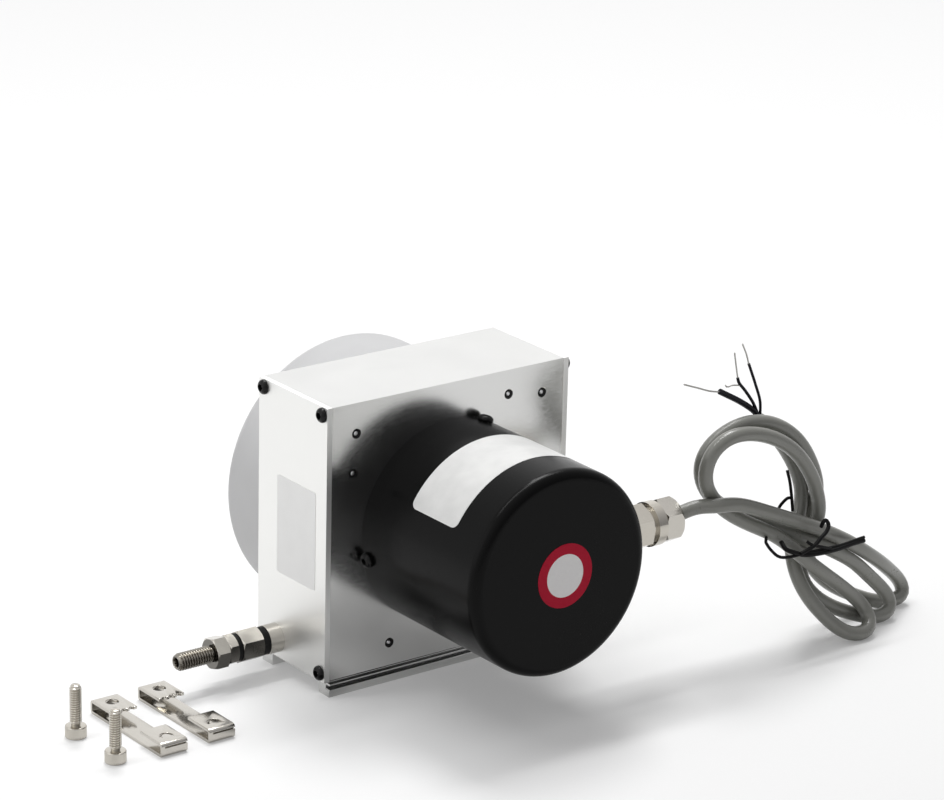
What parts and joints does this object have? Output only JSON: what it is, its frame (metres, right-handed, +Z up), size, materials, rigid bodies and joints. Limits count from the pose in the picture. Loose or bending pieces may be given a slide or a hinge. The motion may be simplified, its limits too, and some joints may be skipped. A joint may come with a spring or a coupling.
{
  "type": "draw wire encoder",
  "caption": "Draw wire position encoder: aluminium box with a sprung wire drum, black encoder cover, grey spring housing, stud-ended wire, looped signal cable and loose mounting clamps.",
  "frame": {"origin": "middle of the footprint between the two clamp rails, on the plane that they stand on", "axes": "+Z up; the wire leaves towards -X; the encoder cover faces -Y and the spring housing +Y"},
  "size_m": [0.3078, 0.1225, 0.1082],
  "materials": {
    "satin_aluminium": "satin anodised extrusion",
    "plate_aluminium": "fine satin",
    "turned_aluminium": "turned",
    "black_steel": "black oxide",
    "screw_steel": "plain",
    "bearing_steel": "ground",
    "wire_steel": "bright",
    "grey_paint": "matte light grey",
    "black_paint": "satin black",
    "nickel": "nickel plate",
    "standoff_brass": "plain",
    "black_rubber": "matte",
    "white_ceramic": "glazed",
    "coupling_plastic": "moulded",
    "disc_glass": "clear",
    "board_green": "solder mask",
    "chip_black": "moulded",
    "cable_grey": "smooth jacket",
    "tie_black": "coated wire",
    "lead_black": "insulation"
  },
  "bodies": {
    "housing_assembly": {"housing": "satin_aluminium", "wire_end_plate": "plate_aluminium", "rear_end_plate": "plate_aluminium", "end_plate_screws": "black_steel", "face_screws": "screw_steel", "encoder_flange": "turned_aluminium", "flange_screws": "black_steel", "spring_plate": "turned_aluminium", "spring_plate_screws": "black_steel", "bearing_outer_rings": "bearing_steel", "bearing_shields": "bearing_steel", "mainspring": "wire_steel", "spring_housing": "grey_paint", "spring_housing_screws": "black_steel", "outlet_nozzle": "nickel", "guide_eyelet": "white_ceramic", "nozzle_nut": "nickel", "encoder_standoffs": "standoff_brass", "encoder_base": "turned_aluminium", "base_screws": "black_steel", "encoder_bearings": "bearing_steel", "board_posts": "standoff_brass", "circuit_board": "board_green", "light_source": "chip_black", "sensor_head": "chip_black", "encoder_cover": "black_paint", "cover_screws": "black_steel", "cover_seal": "black_rubber", "gland_nut": "nickel", "gland_body": "nickel", "gland_insert": "black_rubber", "gland_cap": "nickel", "cable": "cable_grey", "cable_hank": "cable_grey", "cable_tie": "tie_black", "cable_leads": "lead_black", "mounting_clamps": "nickel", "clamp_screws": "nickel"},
    "drum_assembly": {"bearing_inner_rings": "bearing_steel", "drum_shaft": "bearing_steel", "drum": "turned_aluminium", "drum_set_screws": "black_steel", "wound_wire": "wire_steel", "spring_arbor": "turned_aluminium", "arbor_pin": "black_steel", "coupling_drum_hub": "turned_aluminium", "coupling_disc": "coupling_plastic", "coupling_encoder_hub": "turned_aluminium", "encoder_shaft": "bearing_steel", "disc_hub": "turned_aluminium", "code_disc": "disc_glass"},
    "wire_end": {"draw_wire": "wire_steel", "bumper_ring": "black_rubber", "hex_sleeve": "nickel", "wire_ferrule": "wire_steel", "seal_washer": "black_rubber", "jam_nut": "nickel", "lock_nut": "nickel", "threaded_stud": "nickel"}
  },
  "joints": [
    {"name": "drum_spin", "type": "hinge", "parent": "housing_assembly", "child": "drum_assembly", "pos_m": [0, 0, 0.053], "axis": [0, 1, 0], "range_deg": [0, 2812], "stiffness_Nm_per_rad": 0.002, "springref_deg": -5156.62, "deforming": ["mainspring", "draw_wire"]},
    {"name": "wire_pull", "type": "slide", "parent": "housing_assembly", "child": "wire_end", "axis": [-1, 0, 0], "range_m": [0, 2], "deforming": ["draw_wire"]}
  ],
  "couplings": [
    {"joint": "wire_pull", "follows": "drum_spin", "m_per_rad": 0.04075}
  ]
}
